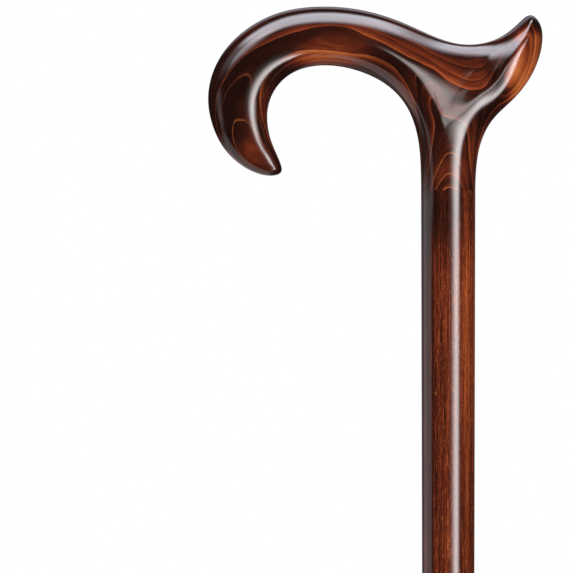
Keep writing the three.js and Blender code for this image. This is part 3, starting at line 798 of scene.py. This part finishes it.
def bareBeech(look):
    # Straight grain along the dowel with the short dark rays that mark beech
    material, tree, bsdf = newFinish("dowel_wood_finish")
    place = objectPlace(tree)
    bands = stretchedNoise(tree, place, *look["bands"])
    fibres = stretchedNoise(tree, place, *look["fibres"])
    shade = maths(tree, "MULTIPLY_ADD", maths(tree, "SUBTRACT", fibres, 0.5), look["fibreShare"], bands)
    rays = noiseStep(tree, place, *look["rays"])
    colour = blendColour(tree, rays, ramp(tree, shade, look["colours"])[0], look["fleck"])
    tree.links.new(colour, bsdf.inputs["Base Color"])
    raiseSurface(tree, bsdf.inputs["Normal"], fibres, look["grainHeight"], look["grainStrength"])
    bsdf.inputs["Roughness"].default_value = look["roughness"]
    return material


rubberLook = {
    "black": stain(29, 29, 30),
    "bloom": stain(52, 51, 50),
    "dust": stain(112, 104, 95),
    "dustTop": 5.5 * millimetre,
    "dustShare": 0.4,
    # where the bloom lies: waves per metre along each axis, detail, and the noise from and to
    "clouds": ((140, 140, 200), 3, 0.38, 0.68),
    # where the dust lies: waves per metre along each axis, detail and roughness, and the noise from and to
    "scuffs": ((520, 520, 900), 4, 0.65),
    "scuffSteps": (0.42, 0.62),
    "roughness": 0.68,
    "grain": ((3400, 3400, 3400), 2),
    "grainHeight": 0.08 * millimetre,
    "grainStrength": 0.5,
}


def mouldedRubber(look):
    # Black with a faint grey bloom, a moulded grain, and dust rubbed into the foot
    material, tree, bsdf = newFinish("ferrule_rubber_finish")
    place = objectPlace(tree)
    colour = blendColour(tree, noiseStep(tree, place, *look["clouds"]), look["black"], look["bloom"])
    low = spread(tree, split(tree, place)[2], look["dustTop"], 0.0, 0.0, look["dustShare"])
    scuffs = spread(tree, stretchedNoise(tree, place, *look["scuffs"]), *look["scuffSteps"])
    dust = maths(tree, "MULTIPLY", low, scuffs)
    colour = blendColour(tree, dust, colour, look["dust"])
    tree.links.new(colour, bsdf.inputs["Base Color"])
    grain = stretchedNoise(tree, place, *look["grain"])
    raiseSurface(tree, bsdf.inputs["Normal"], grain, look["grainHeight"], look["grainStrength"])
    bsdf.inputs["Roughness"].default_value = look["roughness"]
    return material


zincLook = {
    "colours": [(0.3, stain(176, 180, 188)), (0.5, stain(196, 199, 203)), (0.72, stain(208, 206, 198))],
    # waves per metre along each axis, or from the middle outwards, and detail
    "clouds": ((260, 260, 260), 3),
    "circles": ((9000, 1, 1), 1),
    "roughness": 0.34,
    "lineHeight": 0.02 * millimetre,
    "lineStrength": 0.4,
}


def zincPlate(look):
    # Blue-white to faintly yellow plating over the fine circles left by the turning tool
    material, tree, bsdf = newFinish("washer_steel_finish")
    place = objectPlace(tree)
    clouds = stretchedNoise(tree, place, *look["clouds"])
    tree.links.new(ramp(tree, clouds, look["colours"])[0], bsdf.inputs["Base Color"])
    radius = vectorLength(tree, vectorMaths(tree, "MULTIPLY", place, (1, 1, 0)))
    outwards = put(tree, "ShaderNodeCombineXYZ", {0: radius}).outputs[0]
    circles = stretchedNoise(tree, outwards, *look["circles"])
    raiseSurface(tree, bsdf.inputs["Normal"], circles, look["lineHeight"], look["lineStrength"])
    bsdf.inputs["Metallic"].default_value = 1.0
    bsdf.inputs["Roughness"].default_value = look["roughness"]
    return material


# Pieces, each with what it replaces

pieces = [
    (makeHandle(handleForm), "cane", "derby_handle", "handle_wood", handleWood(handleFigure)),
    (makeShaft(shaftForm), "cane", "shaft", "shaft_wood", shaftWood(shaftFigure)),
    (makeDowel(dowelForm), "cane", "joint_dowel", "dowel_wood", bareBeech(dowelLook)),
    (makeFerrule(ferruleForm), "tip", "ferrule", "ferrule_rubber", mouldedRubber(rubberLook)),
    (makeWasher(washerForm), "tip", "ferrule_washer", "washer_steel", zincPlate(zincLook)),
]
for piece, body, node, slot, finish in pieces:
    piece.data.materials.append(finish)
    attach(piece, body)
    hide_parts(node)
print("pieces made:", [piece.name for piece, *rest in pieces])


# Camera: the photograph's frame, seen level from the front through a long lens

cameraForm = {
    "photoSide": 573,
    "crownRow": 6.8,
    "axisColumn": 448.2,
    "millimetrePerPixel": 0.3745,
    "distance": 0.9,
    "sensorWidth": 36,
}


def makeCamera(form):
    scale = form["millimetrePerPixel"] * millimetre
    middle = form["photoSide"] / 2
    x = (middle - form["axisColumn"]) * scale
    z = cadBox[1].z - (middle - form["crownRow"]) * scale
    data = bpy.data.cameras.new("photo_camera")
    data.sensor_width = form["sensorWidth"]
    data.lens = form["sensorWidth"] * form["distance"] / (form["photoSide"] * scale)
    camera = bpy.data.objects.new("photo_camera", data)
    camera.location = (x, -form["distance"], z)
    camera.rotation_euler = (math.pi / 2, 0, 0)
    bpy.context.collection.objects.link(camera)
    bpy.context.scene.camera = camera


makeCamera(cameraForm)


# Studio: panels that show in the gloss, a plain lamp for the colours, dark cards, a pale floor and a white
# surround

studio = {
    "middle": Vector((-0.03, 0, 0.87)),
    # panels round the handle stand upright where they are lower than this elevation
    "uprightBelow": 50,
    "floorRadius": 2.4,
    "floorSides": 128,
    "floorColour": stain(244, 244, 244),
    "floorRoughness": 0.9,
    "floorLift": 0.06,
    "whiteFrom": 0.3,
    "whiteTo": 1.1,
    "surroundShade": 0.7,
    # the dark cards' drum, from the hole in its floor to the hole in its ceiling: (radius, height)
    "cards": [(0.06, 0.004), (1.75, 0.004), (1.75, 3.2), (0.01, 3.2)],
    "cardSides": 72,
    "cardShade": 0.02,
}

# azimuth and elevation of the middle, distance, roll, width, height, colour, radiance, how soft the edges are
lamps = {
    "softbox_overhead": (-22, 77, 0.75, 38, 1.45, 0.85, (0.88, 0.9, 1), 7.8, (0.2, 0.35)),
    "wing_left": (-69, 40, 0.75, 0, 0.6, 0.7, (0.92, 0.9, 1), 1.0, (0.45, 0.4)),
    "card_back_right": (150, 10, 1.1, 0, 0.5, 1.3, (1, 0.9, 0.92), 0.12, (0.4, 0.4)),
    "card_back_top": (180, 42, 0.9, 0, 1.4, 0.6, (0.9, 0.85, 0.95), 0.8, (0.3, 0.3)),
}

# upright panels close to the cane: middle, the way they face, roll, width, height, colour, radiance, softness
nearPanels = {
    "strip_right": ((0.156, -0.26, 0.49), (0, 1, 0), 0, 0.25, 0.98, (1, 0.97, 0.97), 8.3, (0.47, 0.13)),
    "strip_right_glow": ((0.156, -0.262, 0.49), (0, 1, 0), 0, 0.38, 0.98, (1, 0.93, 0.92), 1.5, (0.45, 0.12)),
    "haze_top": ((0.0157, -0.105, 0.8983), (0, 1, 0), 39, 0.095, 0.029, (1, 0.93, 0.92), 4.6, (0.26, 0.38)),
    "haze_low": ((0.055, -0.105, 0.878), (0, 1, 0), 0, 0.12, 0.076, (1, 0.94, 0.93), 2.5, (0.28, 0.32)),
    "wing_hook": ((-0.157, -0.08, 0.977), (0, 1, 0), 0, 0.112, 0.104, (0.95, 0.9, 1), 3.9, (0.35, 0.4)),
    "card_left": ((-0.1, 0.014, 0.43), (0.8, -0.6, 0), 0, 0.13, 0.86, (1, 0.93, 0.96), 0.75, (0.2, 0.02)),
    "card_left_back": (
        (-0.05, 0.091, 0.43), (0.41, -0.91, 0), 0, 0.07, 0.86, (1, 0.93, 0.96), 0.15, (0.2, 0.02)),
    "card_hook": ((-0.17, -0.047, 0.866), (1, 0, 0), 0, 0.06, 0.07, (1, 0.9, 0.93), 0.7, (0.4, 0.3)),
}

# lamps that light the colours and don't show in the lacquer, with the same measures as the lamps
plainLamps = {
    "key_plain": (-30, 50, 1.2, 0, 1, 1, (1, 1, 1), 5.8, (0.3, 0.3)),
}


def lampPanel(name, unlit, place, aim, roll, width, height, colour, radiance, soft):
    # An area lamp that fades towards its edges, turned about the way it faces by the roll. One kind of ray
    # misses it, so that it shows in the lacquer alone or lights the colours alone
    data = bpy.data.lights.new(name, "AREA")
    data.shape = "RECTANGLE"
    data.size, data.size_y = width, height
    data.color = colour
    data.energy = radiance * width * height * math.pi
    lamp = bpy.data.objects.new(name, data)
    lamp.location = place
    turn = Quaternion((0, 0, 1), math.radians(roll))
    lamp.rotation_euler = (Vector(aim).to_track_quat("-Z", "Y") @ turn).to_euler()
    lamp.visible_camera = False
    setattr(lamp, unlit, False)
    bpy.context.collection.objects.link(lamp)
    data.use_nodes = True
    tree = data.node_tree
    emission = next(node for node in tree.nodes if node.type == "EMISSION")
    where = split(tree, put(tree, "ShaderNodeNewGeometry").outputs["Parametric"])
    fade = 1.0
    for part, share in zip(where, soft):
        inward = maths(tree, "PINGPONG", part, 0.5)
        fade = maths(tree, "MULTIPLY", fade, spread(tree, inward, 0.0, share))
    tree.links.new(fade, emission.inputs["Strength"])


def lampsRound(group, unlit):
    # Azimuth 0 is in front of the handle's middle and 90 to its right
    for name, (azimuth, elevation, distance, *values) in group.items():
        a, e = math.radians(azimuth), math.radians(elevation)
        away = Vector((math.sin(a) * math.cos(e), -math.cos(a) * math.cos(e), math.sin(e)))
        aim = -away
        if elevation < studio["uprightBelow"]:
            aim.z = 0
        lampPanel(name, unlit, studio["middle"] + distance * away, aim, *values)


lampsRound(lamps, "visible_diffuse")
for name, values in nearPanels.items():
    lampPanel(name, "visible_diffuse", *values)
lampsRound(plainLamps, "visible_glossy")


def seenDirectly(tree):
    # 1 for the rays that show the background: seen by the camera, in gloss or through glass
    path = put(tree, "ShaderNodeLightPath").outputs
    seen = maths(tree, "MAXIMUM", path["Is Camera Ray"], path["Is Glossy Ray"])
    return maths(tree, "MAXIMUM", seen, path["Is Transmission Ray"])


def makeSurround():
    # White where it is seen, and a plain grey light on the part
    world = bpy.data.worlds.new("studio_world")
    world.use_nodes = True
    bpy.context.scene.world = world
    tree = world.node_tree
    light = studio["surroundShade"]
    shade = maths(tree, "MULTIPLY_ADD", seenDirectly(tree), 1 - light, light)
    grey = put(tree, "ShaderNodeCombineColor", {0: shade, 1: shade, 2: shade}).outputs[0]
    tree.links.new(grey, tree.nodes["Background"].inputs["Color"])


def makeFloor():
    # A pale disc that keeps the shadow and turns into the white surround further out
    rim = turnedGrid([(studio["floorRadius"], 0)], studio["floorSides"])[0]
    data = bpy.data.meshes.new("floor")
    data.from_pydata(rim.tolist(), [], [list(range(len(rim)))])
    floor = bpy.data.objects.new("floor", data)
    bpy.context.collection.objects.link(floor)
    material, tree, bsdf = newFinish("floor_finish")
    bsdf.inputs["Base Color"].default_value = studio["floorColour"]
    bsdf.inputs["Roughness"].default_value = studio["floorRoughness"]
    bsdf.inputs["Specular IOR Level"].default_value = 0.0
    radius = vectorLength(tree, objectPlace(tree))
    seen = seenDirectly(tree)
    far = maths(tree, "MULTIPLY", spread(tree, radius, studio["whiteFrom"], studio["whiteTo"]), seen)
    white = put(tree, "ShaderNodeEmission", {"Color": (1, 1, 1, 1), "Strength": 1.0}).outputs[0]
    liftStrength = maths(tree, "MULTIPLY", seen, studio["floorLift"])
    lift = put(tree, "ShaderNodeEmission", {"Strength": liftStrength}).outputs[0]
    lit = put(tree, "ShaderNodeAddShader", {0: bsdf.outputs[0], 1: lift}).outputs[0]
    mixed = put(tree, "ShaderNodeMixShader", {0: far, 1: lit, 2: white})
    tree.links.new(mixed.outputs[0], tree.nodes["Material Output"].inputs["Surface"])
    data.materials.append(material)


def makeDarkCards():
    # A drum round the part that only reflections see: floor ring, wall and ceiling
    cards = skinMesh("dark_cards", turnedGrid(studio["cards"], studio["cardSides"]))
    material, tree, bsdf = newFinish("dark_card_finish")
    shade = studio["cardShade"]
    emission = put(tree, "ShaderNodeEmission", {"Color": (shade, shade, shade, 1), "Strength": 1.0})
    tree.links.new(emission.outputs[0], tree.nodes["Material Output"].inputs["Surface"])
    cards.data.materials.append(material)
    for ray in ("camera", "diffuse", "transmission", "volume_scatter", "shadow"):
        setattr(cards, "visible_" + ray, False)


makeSurround()
makeFloor()
makeDarkCards()
bpy.context.scene.view_settings.view_transform = "Standard"
print("camera, lamps and floor made")
